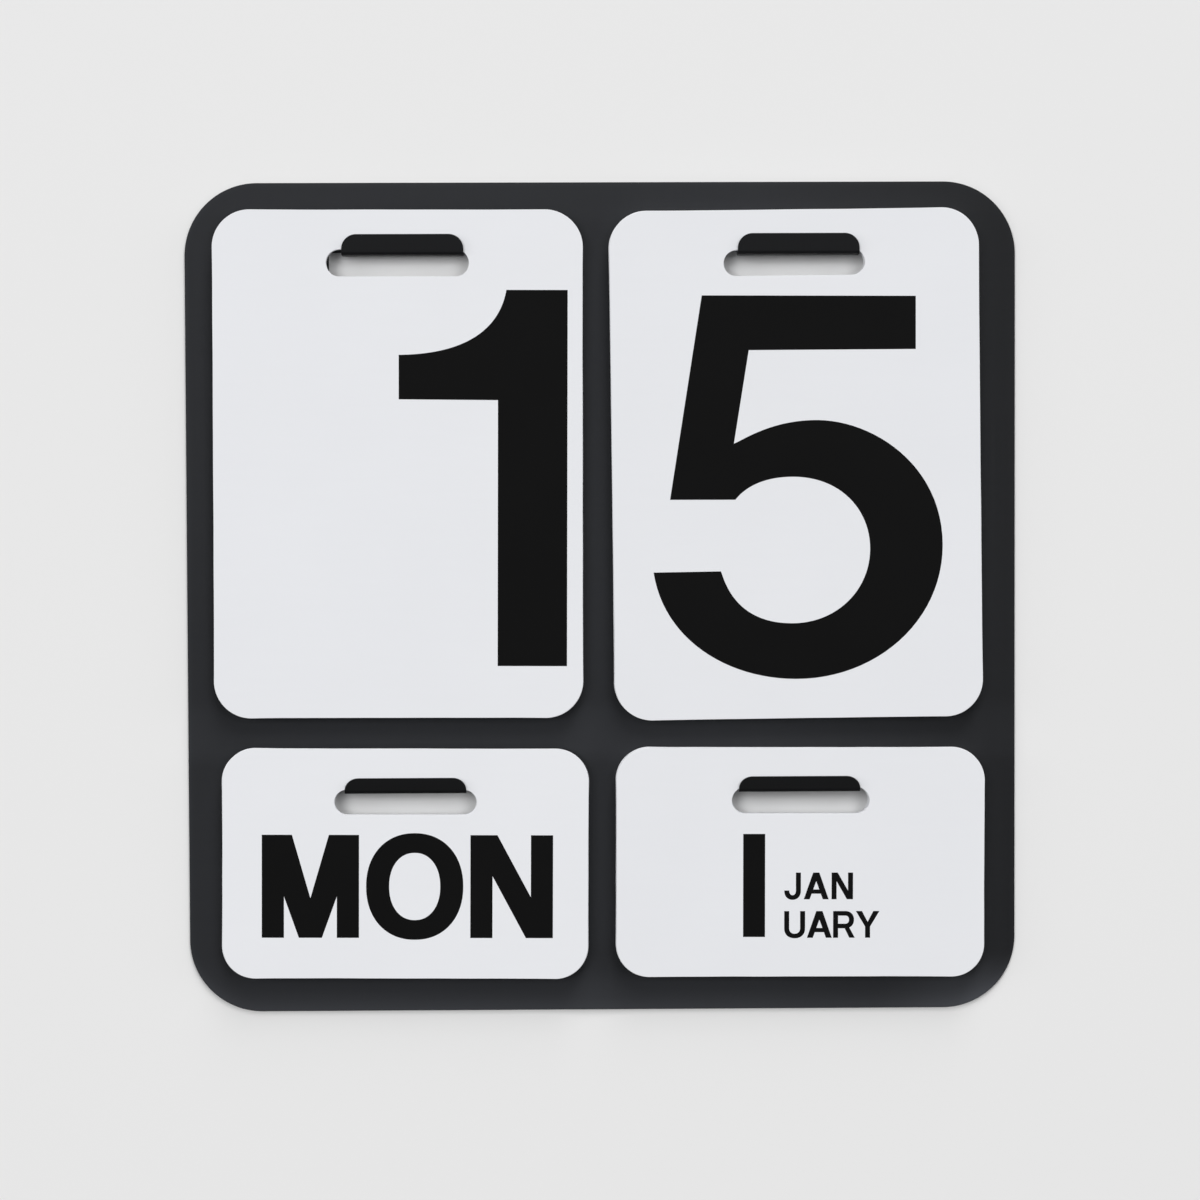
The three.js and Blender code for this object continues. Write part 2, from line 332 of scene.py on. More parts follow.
def anodised(name, tone, painted_sheen, rough=0.49, gloss=0.5, upper_sheen=0.0):
    """Dyed black anodised aluminium: a faintly bluish satin film with rolling streaks. The third argument
    is how strongly a sheen is painted along the sheet's outer margin, and it also turns on painted light
    and shade across the front; the last is how much lighter the upper hooks are painted, a painted sheen."""
    material, tree, shader = principled(name)
    n = Nodes(tree)
    here = n.object_point()
    # rolled streaks along both axes of the sheet, some metres long against a millimetre wide
    across = n.noise(n.scaled(here, (900.0, 900.0, 6.0)), 1.0, 3.0, 0.6)
    along = n.noise(n.scaled(here, (6.0, 900.0, 900.0), (3.1, 0.0, 1.7)), 1.0, 3.0, 0.6)
    cloud = n.noise(n.scaled(here, (9.0, 9.0, 9.0), (0.4, 0.2, 0.9)), 1.0, 2.0, 0.5)
    grain = n.noise(here, 5200.0, 2.0, 0.6)
    streak = n.math("ADD", n.math("MULTIPLY", across, 0.5), n.math("MULTIPLY", along, 0.5))
    factor = n.ramp(streak, 0.3, 0.7, 0.94, 1.06)
    factor = n.math("MULTIPLY", factor, n.ramp(cloud, 0.3, 0.7, 0.95, 1.05))
    factor = n.math("MULTIPLY", factor, n.ramp(grain, 0.3, 0.7, 0.97, 1.03))
    # painted light and shade on the front: a painted sheen along the outline, painted light in the middle, along
    # the row bar, the lower margin and the top, painted shade at the right and a painted highlight at the lower
    # right corner
    if painted_sheen:
        # distance in from the plate's outline
        split = n.add("ShaderNodeSeparateXYZ")
        n.put(split.inputs[0], here)
        x, z = split.outputs[0], split.outputs[2]
        core = (PLATE_SIZE / 2 - PLATE_CORNER_R) * MM
        qx = n.math("SUBTRACT", n.math("ABSOLUTE", x), core)
        qz = n.math("SUBTRACT", n.math("ABSOLUTE", z), core)
        px, pz = n.math("MAXIMUM", qx, 0.0), n.math("MAXIMUM", qz, 0.0)
        far = n.math("SQRT", n.math("ADD", n.math("MULTIPLY", px, px), n.math("MULTIPLY", pz, pz)))
        near = n.math("MINIMUM", n.math("MAXIMUM", qx, qz), 0.0)
        depth = n.math("SUBTRACT", PLATE_CORNER_R * MM, n.math("ADD", far, near))
        # painted sheen in a band along the outline, reaching further in along the lower margin and strongest at its
        # right end
        low = n.ramp(z, -0.158, -0.134, 1.0, 0.0, True)
        width = n.ramp(low, 0.0, 1.0, 0.0024, 0.0058)
        edge_sheen = n.ramp(n.math("DIVIDE", depth, width), 0.0, 1.0, 1.0, 0.0, True)
        lower_right_sheen = n.math("MULTIPLY", low, n.ramp(x, 0.06, 0.150, 0.2, 1.0, True))
        amount = n.math("ADD", n.ramp(x, -0.05, 0.156, 1.0, 0.5), n.math("MULTIPLY", lower_right_sheen, 2.4))
        patchy = n.ramp(n.noise(here, 34.0, 3.0, 0.6), 0.35, 0.65, 0.8, 1.15)
        edge_sheen = n.math("MULTIPLY", n.math("MULTIPLY", edge_sheen, amount), patchy)
        factor = n.math("ADD", factor, n.math("MULTIPLY", edge_sheen, painted_sheen))
        # painted light and shade: lighter in the middle, along the lower margin and at the top, darker towards the
        # right
        factor = n.math("ADD", factor, n.ramp(depth, 0.012, 0.050, 0.27, 0.36, True))
        # painted light along the row bar between the upper and lower packs
        bar = n.math("ABSOLUTE", n.math("ADD", z, 0.051))
        factor = n.math("ADD", factor, n.ramp(bar, 0.006, 0.014, 0.26, 0.0, True))
        factor = n.math("ADD", factor, n.math("MULTIPLY", low, 0.66))
        factor = n.math("ADD", factor, n.ramp(z, -0.157, 0.157, -0.08, 0.08))
        factor = n.math("MULTIPLY", factor, n.ramp(x, 0.060, 0.155, 1.0, 0.56))
        # painted highlight along the right end of the lower margin and at the lower right corner
        factor = n.math("ADD", factor, n.math("MULTIPLY", lower_right_sheen, 0.42))
        corner = n.math("MULTIPLY", low, n.ramp(x, 0.100, 0.146, 0.0, 1.6, True))
        factor = n.math("ADD", factor, corner)
    if upper_sheen:
        split = n.add("ShaderNodeSeparateXYZ")
        n.put(split.inputs[0], here)
        # painted sheen: lighter towards the top, so that the upper hooks read lighter than the lower ones as under
        # light from above
        factor = n.math("ADD", factor, n.ramp(split.outputs[2], -0.06, 0.12, 0.0, upper_sheen, True))
        # the sheet's back is scuffed paler where it has lain on walls and tables
        scuff = n.noise(n.scaled(here, (26.0, 26.0, 60.0), (1.3, 0.0, 0.6)), 1.0, 5.0, 0.66)
        paler = n.ramp(scuff, 0.36, 0.66, 1.1, 1.9)
        behind = n.ramp(split.outputs[1], -0.0012, -0.0002, 0.0, 1.0, True)
        factor = n.math("ADD", factor, n.math("MULTIPLY", behind, paler))
    colour = n.add("ShaderNodeRGB")
    colour.outputs[0].default_value = (*tone, 1.0)
    n.put(shader.inputs["Base Color"], n.scale_colour(colour.outputs[0], factor))
    n.put(shader.inputs["Roughness"], n.ramp(streak, 0.3, 0.7, rough - 0.05, rough + 0.05))
    n.put(shader.inputs["Normal"], n.bump(n.math("ADD", grain, n.math("MULTIPLY", streak, 0.6)), 0.000004))
    shader.inputs["IOR"].default_value = 1.5
    shader.inputs["Specular IOR Level"].default_value = gloss
    return material


def card_plastic(name, white):
    """White satin plastic sheet, very slightly bluish, with the fine tooth that takes the ink. white
    is how bright the sheet is made, which differs from pack to pack as painted light."""
    material, tree, shader = principled(name)
    n = Nodes(tree)
    here = n.object_point()
    tooth = n.noise(here, 2600.0, 2.0, 0.55)
    mottle = n.noise(here, 22.0, 3.0, 0.5)
    fibre = n.noise(n.scaled(here, (40.0, 400.0, 400.0), (0.7, 0.1, 0.3)), 1.0, 2.0, 0.5)
    factor = n.math(
        "MULTIPLY", n.ramp(mottle, 0.3, 0.7, 0.993, 1.007), n.ramp(tooth, 0.3, 0.7, 0.997, 1.003)
    )
    factor = n.math("MULTIPLY", factor, n.ramp(fibre, 0.3, 0.7, 0.998, 1.002))
    colour = n.add("ShaderNodeRGB")
    colour.outputs[0].default_value = (0.787 * white, 0.797 * white, 0.825 * white, 1.0)
    n.put(shader.inputs["Base Color"], n.scale_colour(colour.outputs[0], factor))
    n.put(shader.inputs["Roughness"], n.ramp(tooth, 0.3, 0.7, 0.42, 0.52))
    n.put(shader.inputs["Normal"], n.bump(tooth, 0.000003))
    shader.inputs["IOR"].default_value = 1.47
    return material


def print_ink():
    """Screen-printed black ink, dead flat, with a faint orange-peel."""
    material, tree, shader = principled("print_ink")
    n = Nodes(tree)
    here = n.object_point()
    peel = n.noise(here, 1800.0, 2.0, 0.5)
    cloud = n.noise(here, 30.0, 2.0, 0.5)
    colour = n.add("ShaderNodeRGB")
    colour.outputs[0].default_value = (0.0035, 0.0035, 0.0036, 1.0)
    n.put(
        shader.inputs["Base Color"],
        n.scale_colour(colour.outputs[0], n.ramp(cloud, 0.3, 0.7, 0.94, 1.06)),
    )
    n.put(shader.inputs["Roughness"], n.ramp(peel, 0.3, 0.7, 0.5, 0.6))
    n.put(shader.inputs["Normal"], n.bump(peel, 0.000003))
    shader.inputs["IOR"].default_value = 1.45
    shader.inputs["Specular IOR Level"].default_value = 0.22
    return material


# its third value paints a sheen along the outline and light and shade across the front
PLATE_FRONT = anodised("anodised_front", (0.0150, 0.0159, 0.0182), 0.28)
# its last value paints the upper hooks lighter, a painted sheen
PLATE_BACK = anodised("anodised_back", (0.0033, 0.0035, 0.0040), 0.0, 0.62, 0.28, 0.95)
PLATE_EDGE = anodised("anodised_cut_edge", (0.0180, 0.0188, 0.0205), 0.0)
# each pack's white is painted light: the packs on the left are made whiter, where more light falls
CARD = {
    "tens_card_": card_plastic("card_plastic_tens", 1.018),
    "units_card_": card_plastic("card_plastic_units", 1.007),
    "weekday_card_": card_plastic("card_plastic_weekday", 1.026),
    "month_card_": card_plastic("card_plastic_month", 1.010),
}
INK = print_ink()


# ---------------------------------------------------------------- plate

MID_R = BEND_R + SHEET / 2
BEND_LENGTH = math.pi / 2 * MID_R
LEDGE_LENGTH = HOOK_REACH - 2 * BEND_R - SHEET
BEND_STEPS = 14
ROOT_Y = -SHEET - BEND_R
TIP_Y = ROOT_Y - LEDGE_LENGTH


def flat_length(ledge, lip):
    bend = (math.pi / 2) * (BEND_R + 0.45 * SHEET)
    return 2 * bend + LEDGE_LENGTH + (lip - ledge - BEND_R)


def kerf(x, ledge, lip):
    """The cut round one hook in the flat sheet: the window's outline and, inside it, the tab's own,
    unrolled downwards from the fold. Clockwise, so the metal is on its left. Also the pairs of points
    where a row crosses the tab."""
    half, tab, fold = WINDOW_WIDTH / 2, HOOK_WIDTH / 2, ledge + BEND_R
    bottom = fold - flat_length(ledge, lip) - CUT_GAP
    r, n, m = WINDOW_CORNER_R, 1.5, RELIEF
    top = fold + m
    end = 2 * BEND_LENGTH + LEDGE_LENGTH + (lip - fold)
    corner, rise = LIP_CORNER[lip]
    rows = [BEND_LENGTH * i / BEND_STEPS for i in range(BEND_STEPS + 1)]
    rows += [BEND_LENGTH + LEDGE_LENGTH + BEND_LENGTH * i / BEND_STEPS for i in range(BEND_STEPS + 1)]
    rows = [s for s in rows if s < end - rise - 1e-6]
    side = [(tab, fold - s) for s in rows]
    right = (
        arc(half - r, bottom + r, r, 270, 360, 10)
        + arc(half - n, top - n, n, 0, 90, 10)
        + arc(tab + m, fold, m, 90, 180, 8)[:-1]
        + side
        + [
            (tab - corner + corner * c, fold - end + rise + rise * s)
            for c, s in arc(0, 0, 1, 0, -90, 16)
        ]
    )
    left = [(-u, v) for u, v in reversed(right)]
    loop = [(u + x, v) for u, v in right + left]
    first = len(arc(0, 0, 1, 0, 1, 10)) * 2 + 8
    count = len(right)
    pairs = [(first + i, 2 * count - 1 - first - i) for i in range(len(side))]
    loop = loop[::-1]
    total = len(loop)
    pairs = [(total - 1 - a, total - 1 - b) for a, b in pairs]
    return loop, pairs


def bent(hooks):
    """Where a point of the flat sheet ends up once the tabs are bent."""

    def place(u, v, w):
        for x, ledge, lip in hooks:
            fold = ledge + BEND_R
            end = fold - 2 * BEND_LENGTH - LEDGE_LENGTH - (lip - fold)
            if abs(u - x) < HOOK_WIDTH / 2 + 1e-3 and end - 1e-3 < v < fold:
                s = fold - v
                r = BEND_R + w
                if s <= BEND_LENGTH:
                    a = s / MID_R
                    return (u, ROOT_Y + r * math.cos(a), fold - r * math.sin(a))
                s -= BEND_LENGTH
                if s <= LEDGE_LENGTH:
                    return (u, ROOT_Y - s, fold - r)
                s -= LEDGE_LENGTH
                if s <= BEND_LENGTH:
                    a = s / MID_R
                    return (u, TIP_Y - r * math.sin(a), fold - r * math.cos(a))
                return (u, TIP_Y - r, fold + s - BEND_LENGTH)
        return (u, -SHEET + w, v)

    return place


def build_plate():
    hooks = [(side * HOOK_X, ledge, lip) for side in (-1, 1) for ledge, lip in ROWS]
    outline = rounded_rectangle(PLATE_SIZE, PLATE_SIZE, PLATE_CORNER_R, 40)
    loops = [clean(outline)]
    rows, base = [], len(loops[0])
    for x, ledge, lip in hooks:
        loop, pairs = kerf(x, ledge, lip)
        rows += [(base + a, base + b) for a, b in pairs]
        base += len(loop)
        loops.append(loop)
    for x, z in SCREW_HOLES:
        loops.append(arc(x, z, SCREW_HOLE_R, 360, 0, 48)[:-1])
    points, front, back, walls = sheet_solid(loops, SHEET, EDGE, bent(hooks), rows)
    materials = [0] * len(front) + [1] * len(back) + [2] * len(walls)
    plate = make_object(
        "plate_sheet", points, front + back + walls, [PLATE_FRONT, PLATE_BACK, PLATE_EDGE], True, materials
    )
    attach(plate, "plate")
    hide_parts("base_plate")
    return plate


# ---------------------------------------------------------------- cards


def card_outline(card, seed):
    """A die-cut outline: the sides pull in a little between the corners, and the blade wavers."""
    rng = random.Random(seed)
    w, h, r = card["w"], card["h"], card["r"]
    loop = split_long(clean(rounded_rectangle(w, h, r, 24)), 4.0)
    waves = [
        (rng.uniform(0.015, 0.035), rng.uniform(0.0, 2 * math.pi), k)
        for k in (3, 5, 8, 13, 21)
    ]
    length = sum(math.dist(p, loop[(i + 1) % len(loop)]) for i, p in enumerate(loop))
    run, moved = 0.0, []
    base = offset(loop, 1.0)
    for i, p in enumerate(loop):
        q = base[i]
        inward = (q[0] - p[0], q[1] - p[1])
        # how far this point is along a straight side from the nearest corner
        dx, dz = w / 2 - r - abs(p[0]), h / 2 - r - abs(p[1])
        away = max(dx, dz, 0.0)
        pull = 0.12 * (1 - math.exp(-away / 9.0))
        s = run / length
        wave = sum(a * math.sin(2 * math.pi * k * s + f) for a, f, k in waves)
        d = max(0.0, pull + 0.55 * wave + 0.03)
        moved.append((p[0] + inward[0] * d, p[1] + inward[1] * d))
        run += math.dist(p, loop[(i + 1) % len(loop)])
    return moved


def card_slot(card):
    r = card["slot_h"] / 2
    z = card["h"] / 2 - card["slot_top"] - r
    x = card["slot_w"] / 2 - r
    loop = arc(x, z, r, -90, 90, 24) + arc(-x, z, r, 90, 270, 24)
    return loop[::-1]


def card_place(node, card):
    """The card's centre (x, z), front and tilt in radians, from its CAD solid."""
    co = np.array([v.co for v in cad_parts[node].data.vertices], float) / MM
    xz = co[:, [0, 2]]
    best = None
    for step, span in ((0.05, 1.5), (0.005, 0.06), (0.0005, 0.006)):
        around = best[1] if best else 0.0
        for k in range(-round(span / step), round(span / step) + 1):
            deg = around + k * step
            a = math.radians(deg)
            u = xz[:, 0] * math.cos(a) + xz[:, 1] * math.sin(a)
            v = -xz[:, 0] * math.sin(a) + xz[:, 1] * math.cos(a)
            size = (u.max() - u.min()) + (v.max() - v.min())
            if best is None or size < best[0] - 1e-9:
                mid = ((u.max() + u.min()) / 2, (v.max() + v.min()) / 2)
                best = (size, deg, mid)
    a = math.radians(best[1])
    u, v = best[2]
    x, z = u * math.cos(a) - v * math.sin(a), u * math.sin(a) + v * math.cos(a)
    return x, z, co[:, 1].min(), a


def placed(x0, z0, y0, a):
    ca, sa = math.cos(a), math.sin(a)

    def place(u, v, w):
        return (x0 + u * ca - v * sa, y0 + w, z0 + u * sa + v * ca)

    return place


def build_card(node, card, material, seed):
    place = card_place(node, card)
    loops = [card_outline(card, seed), card_slot(card)]
    points, front, back, walls = sheet_solid(loops, CARD_T, 0.06, placed(*place), steps=2)
    ob = make_object(node + "_sheet", points, front + back + walls, [material], True)
    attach(ob, node)
    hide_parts(node)
    return place


# ---------------------------------------------------------------- prints


def bezier(p0, h0, h1, p1, steps=24):
    """Points of a cubic curve, without its first."""
    out = []
    for i in range(1, steps + 1):
        t = i / steps
        a, b, c, d = (1 - t) ** 3, 3 * t * (1 - t) ** 2, 3 * t * t * (1 - t), t**3
        out.append(
            (
                a * p0[0] + b * h0[0] + c * h1[0] + d * p1[0],
                a * p0[1] + b * h0[1] + c * h1[1] + d * p1[1],
            )
        )
    return out


def curve(*parts):
    """A line through corner points, and through (handle, handle, point) triples as curves."""
    out = [parts[0]]
    for part in parts[1:]:
        if isinstance(part[0], tuple):
            out += bezier(out[-1], part[0], part[1], part[2])
        else:
            out.append(part)
    return out


def band(outer, inner):
    """Quads between two lines of as many points."""
    return [
        [outer[i], outer[i + 1], inner[i + 1], inner[i]] for i in range(len(outer) - 1)
    ]


def bow(cx, cz, rx, rz, a0, a1, steps=24, p=2.0):
    """Part of a superellipse, its angle in degrees."""
    out = []
    for i in range(steps + 1):
        t = math.radians(a0 + (a1 - a0) * i / steps)
        c, s = math.cos(t), math.sin(t)
        out.append(
            (
                cx + rx * math.copysign(abs(c) ** (2 / p), c),
                cz + rz * math.copysign(abs(s) ** (2 / p), s),
            )
        )
    return out


def stroke(points, w0, w1=None):
    """Quads along a line, w0 wide at its start and w1 at its end."""
    w1 = w0 if w1 is None else w1
    left, right = [], []
    for i, p in enumerate(points):
        a, b = points[max(0, i - 1)], points[min(len(points) - 1, i + 1)]
        d = Vector((b[0] - a[0], b[1] - a[1])).normalized()
        half = (w0 + (w1 - w0) * i / (len(points) - 1)) / 2
        left.append((p[0] - d.y * half, p[1] + d.x * half))
        right.append((p[0] + d.y * half, p[1] - d.x * half))
    return band(left, right)


def box(x0, z0, x1, z1):
    return [(x0, z0), (x1, z0), (x1, z1), (x0, z1)]


# Numerals in millimetres on their card.

ONE = curve(
    (64.23, 65.73),
    (63.77, -76.43),
    (37.5, -76.33),
    (37.84, 24.24),
    (0.37, 24.57),
    (0.42, 41.32),
    ((29.73, 41.6), (39.04, 54.04), (41.1, 65.76)),
)

FIVE = curve(
    (-35.13, 64.25),
    (45.82, 63.11),
    (45.63, 43.05),
    (-17.6, 43.4),
    (-23.63, 8.14),
    ((-19.77, 9.67), (-9.19, 16.91), (7.93, 16.69)),
    ((28.9, 16.42), (55.4, -0.74), (55.12, -31.24)),
    ((54.84, -60.35), (29.07, -81.71), (-1.03, -81.29)),
    ((-27.21, -80.92), (-51.04, -65.63), (-54.63, -40.22)),
    (-29.12, -40.09),
    ((-27.97, -42.66), (-24.7, -59.83), (-2.39, -60.14)),
    ((14.46, -60.37), (27.41, -48.09), (27.57, -32.2)),
    ((27.72, -17.33), (16.51, -4.87), (-1.32, -4.63)),
    ((-17.36, -4.42), (-22.7, -12.48), (-23.31, -13.06)),
    (-48.05, -12.77),
)


def numeral(digit):
    """Convex pieces or one outline of a numeral, 110 wide and 143 high, middle of its foot line at
    (0, -77)."""
    if digit == "1":
        return [[(x - 32.0, z) for x, z in ONE]]
    if digit == "5":
        return [FIVE]
    if digit == "0":
        return band(
            bow(0, -7, 52, 75.5, 0, 360, 96, 2.25), bow(0, -7, 25.5, 54.5, 0, 360, 96, 2.25)
        )
    if digit == "7":
        return [box(-48, 44, 50, 65.5)] + stroke(
            curve((34, 50), ((2, 18), (-18, -28), (-22, -77))), 30, 28
        )
    if digit == "4":
        return [
            box(11, -77, 37.5, 65.5),
            box(-54, -42, 54, -21),
            [(-54, -26), (-30, -26), (37, 65.5), (11, 65.5)],
        ]
    if digit == "2":
        top = curve(
            (-37, 20), ((-37, 44), (-22, 57), (2, 57)), ((24, 57), (38, 43), (38, 24))
        ) + curve((38, 24), ((38, -4), (-28, -26), (-37, -66)))[1:]
        return stroke(top, 26, 26) + [box(-51, -77, 52, -55)]
    if digit == "3":
        upper = curve((-35, 26), ((-34, 46), (-20, 57), (0, 57)), ((20, 57), (34, 45), (34, 27)))
        upper += curve((34, 27), ((34, 12), (18, 1), (-10, 1)))[1:]
        lower = curve((-10, 1), ((22, 1), (39, -12), (39, -33)), ((39, -56), (22, -70), (0, -70)))
        lower += curve((0, -70), ((-22, -70), (-39, -58), (-39, -36)))[1:]
        return stroke(upper, 25, 20) + stroke(lower, 20, 26)
    if digit == "8":
        return band(
            bow(0, 28, 44, 39.5, 0, 360, 72, 2.15), bow(0, 28, 19, 20.5, 0, 360, 72, 2.1)
        ) + band(
            bow(0, -36, 53, 46.5, 0, 360, 72, 2.15), bow(0, -36, 26, 25.5, 0, 360, 72, 2.1)
        )
    turn = -1 if digit == "9" else 1
    pieces = band(
        bow(0, -33, 54, 49.5, 0, 360, 72, 2.1), bow(0, -33, 27, 28.5, 0, 360, 72, 2.1)
    ) + stroke(
        curve((-40.5, -33), ((-41, 30), (-26, 57), (4, 57)), ((22, 57), (32, 48), (36, 32))), 27, 26
    )
    return [[(x * turn, (z + 8.5) * turn - 8.5) for x, z in piece] for piece in pieces]


# Letters of a heavy sans serif. Each gives its pieces and its width for a cap height of 1, a stem of
# s and an arm of a.


def letter(c, s, a):
    o = 0.018  # overshoot of the round letters
    if c == "I":
        return [box(0, 0, s, 1)], s
    if c in "EFL":
        w = 0.70 if c == "E" else 0.66
        pieces = [box(0, 0, s, 1)]
        if c != "F":
            pieces.append(box(0, 0, w, a))
        if c != "L":
            pieces += [box(0, 1 - a, w, 1), box(0, 0.52 - a / 2, w * 0.92, 0.52 + a / 2)]
        return pieces, w
    if c == "H":
        w = 0.78
        return [box(0, 0, s, 1), box(w - s, 0, w, 1), box(0, 0.51 - a / 2, w, 0.51 + a / 2)], w
    if c == "T":
        w = 0.76
        return [box(0, 1 - a, w, 1), box((w - s) / 2, 0, (w + s) / 2, 1)], w
    if c == "N":
        w = 0.80
        d = 1.22 * s
        return [box(0, 0, s, 1), box(w - s, 0, w, 1), [(0, 1), (w - d, 0), (w, 0), (d, 1)]], w
    if c == "M":
        w = 0.94
        d = 1.36 * s
        mid = w / 2
        return [
            box(0, 0, s, 1),
            box(w - s, 0, w, 1),
            [(0, 1), (mid - 0.52 * s, 0), (mid + 0.52 * s, 0), (d, 1)],
            [(w, 1), (w - d, 1), (mid - 0.52 * s, 0), (mid + 0.52 * s, 0)],
        ], w
    if c == "A":
        w, t, e = 0.93, 1.18 * s, 0.62 * s
        at = lambda z: z * (w / 2 - e)  # left leg's outer side at height z
        return [
            [(0, 0), (t, 0), (w / 2 + e, 1), (w / 2 - e, 1)],
            [(w - t, 0), (w, 0), (w / 2 + e, 1), (w / 2 - e, 1)],
            [
                (at(0.21) + t / 2, 0.21),
                (w - at(0.21) - t / 2, 0.21),
                (w - at(0.38) - t / 2, 0.21 + a * 0.92),
                (at(0.38) + t / 2, 0.21 + a * 0.92),
            ],
        ], w
    if c == "V":
        w, t, e = 0.90, 1.2 * s, 0.6 * s
        return [
            [(0, 1), (w / 2 - e, 0), (w / 2 + e, 0), (t, 1)],
            [(w - t, 1), (w / 2 - e, 0), (w / 2 + e, 0), (w, 1)],
        ], w
    if c == "W":
        w, t, e = 1.28, 1.12 * s, 0.56 * s
        pieces = []
        for foot, outer, side in ((w * 0.27, 0, 1), (w * 0.73, w, -1)):
            pieces += [
                [(outer, 1), (foot - e, 0), (foot + e, 0), (outer + side * t, 1)],
                [(w / 2 - t / 2, 1), (foot - e, 0), (foot + e, 0), (w / 2 + t / 2, 1)],
            ]
        return pieces, w
    if c == "X":
        w, t = 0.88, 1.22 * s
        return [[(0, 0), (t, 0), (w, 1), (w - t, 1)], [(w - t, 0), (w, 0), (t, 1), (0, 1)]], w
    if c == "Y":
        w, t = 0.88, 1.22 * s
        k = 0.42
        return [
            [(0, 1), ((w - s) / 2, k), ((w + s) / 2, k), (t, 1)],
            [(w - t, 1), ((w - s) / 2, k), ((w + s) / 2, k), (w, 1)],
            box((w - s) / 2, 0, (w + s) / 2, k),
        ], w
    if c == "O":
        w = 0.94
        return band(
            bow(w / 2, 0.5, w / 2, 0.5 + o, 0, 360, 96, 2.16),
            bow(w / 2, 0.5, w / 2 - 1.04 * s, 0.5 + o - a, 0, 360, 96, 2.16),
        ), w
    if c in "CG":
        w = 0.88
        end = -40 if c == "C" else 0
        start = 40
        ring = band(
            bow(0.47, 0.5, 0.47, 0.5 + o, start, 360 + end, 72, 2.16),
            bow(0.47, 0.5, 0.47 - 1.04 * s, 0.5 + o - a, start, 360 + end, 72, 2.16),
        )
        if c == "G":
            ring += [box(0.50, 0.52 - a, 0.94, 0.52), box(0.94 - s * 0.8, 0, 0.94, 0.52)]
            w = 0.94
        return ring, w
    if c == "U":
        w, k = 0.78, 0.36
        return [box(0, k, s, 1), box(w - s, k, w, 1)] + band(
            bow(w / 2, k, w / 2, k + o, 180, 360, 48, 2.2),
            bow(w / 2, k, w / 2 - s, k + o - a, 180, 360, 48, 2.2),
        ), w
    if c == "J":
        w, k = 0.62, 0.33
        return [box(w - s, k, w, 1)] + band(
            bow(w / 2, k, w / 2, k + o, 180, 360, 48, 2.2),
            bow(w / 2, k, w / 2 - s, k + o - a, 180, 360, 48, 2.2),
        ), w
    if c == "D":
        w = 0.84
        outer = [(s * 0.6, 1)] + bow(w - 0.46, 0.5, 0.46, 0.5, 90, -90, 48, 2.2) + [(s * 0.6, 0)]
        inner = (
            [(s * 0.6, 1 - a)] + bow(w - 0.46, 0.5, 0.46 - s, 0.5 - a, 90, -90, 48, 2.2) + [(s * 0.6, a)]
        )
        return [box(0, 0, s, 1)] + band(outer, inner), w
    if c in "BPR":
        w = 0.78 if c != "P" else 0.74
        mid = 0.50 if c == "B" else 0.44
        pieces = [box(0, 0, s, 1)]
        halves = [(mid - a / 2, 1.0, w - 0.03 * (c == "B"))]
        if c == "B":
            halves.append((0.0, mid + a / 2, w))
        for z0, z1, right in halves:
            r = (z1 - z0) / 2
            m = (z0 + z1) / 2
            outer = [(s * 0.6, z1)] + bow(right - r, m, r, r, 90, -90, 32, 2.15) + [(s * 0.6, z0)]
            inner = (
                [(s * 0.6, z1 - a)]
                + bow(right - r, m, r - s, r - a, 90, -90, 32, 2.15)
                + [(s * 0.6, z0 + a)]
            )
            pieces += band(outer, inner)
        if c == "R":
            leg = [(w * 0.62 - s / 2, mid), (w * 0.62 + s / 2, mid), (w + 0.03, 0), (w + 0.03 - s * 1.1, 0)]
            pieces.append(leg)
        return pieces, w
    if c == "S":
        w = 0.80
        l, r = a * 0.52, w - a * 0.52
        hi, lo = 1 + o - a / 2, -o + a / 2
        spine = curve(
            (r - 0.01, 0.68),
            ((r - 0.01, 0.83), (0.62, hi), (w / 2, hi)),
            ((0.17, hi), (l, 0.88), (l, 0.735)),
            ((l, 0.56), (0.24, 0.545), (w / 2, 0.51)),
            ((0.60, 0.47), (r, 0.45), (r, 0.275)),
            ((r, 0.12), (0.62, lo), (w / 2, lo)),
            ((0.16, lo), (l - 0.01, 0.16), (l - 0.01, 0.33)),
        )
        return stroke(spine, s * 0.98), w
    raise RuntimeError(f"there is no letter {c!r}")


def word(text, x, z, height, stem, arm, gap, centre=False):
    """Pieces of a word whose foot line is z, from x to the right or centred on x."""
    s, a = stem / height, arm / height
    glyphs = [letter(c, s, a) for c in text]
    tight = {"AR": -0.05, "AT": -0.07, "LY": -0.05, "AY": -0.08, "TA": -0.06, "AU": -0.01, "UA": -0.03, "RY": -0.03}
    places, run = [], 0.0
    for i, (pieces, w) in enumerate(glyphs):
        places.append(run)
        run += w * height + gap
        if i + 1 < len(text):
            run += tight.get(text[i : i + 2], 0.0) * height
    run -= gap
    x0 = x - run / 2 if centre else x
    return [
        [(x0 + at + u * height, z + v * height) for u, v in piece]
        for (pieces, _), at in zip(glyphs, places)
        for piece in pieces
    ]


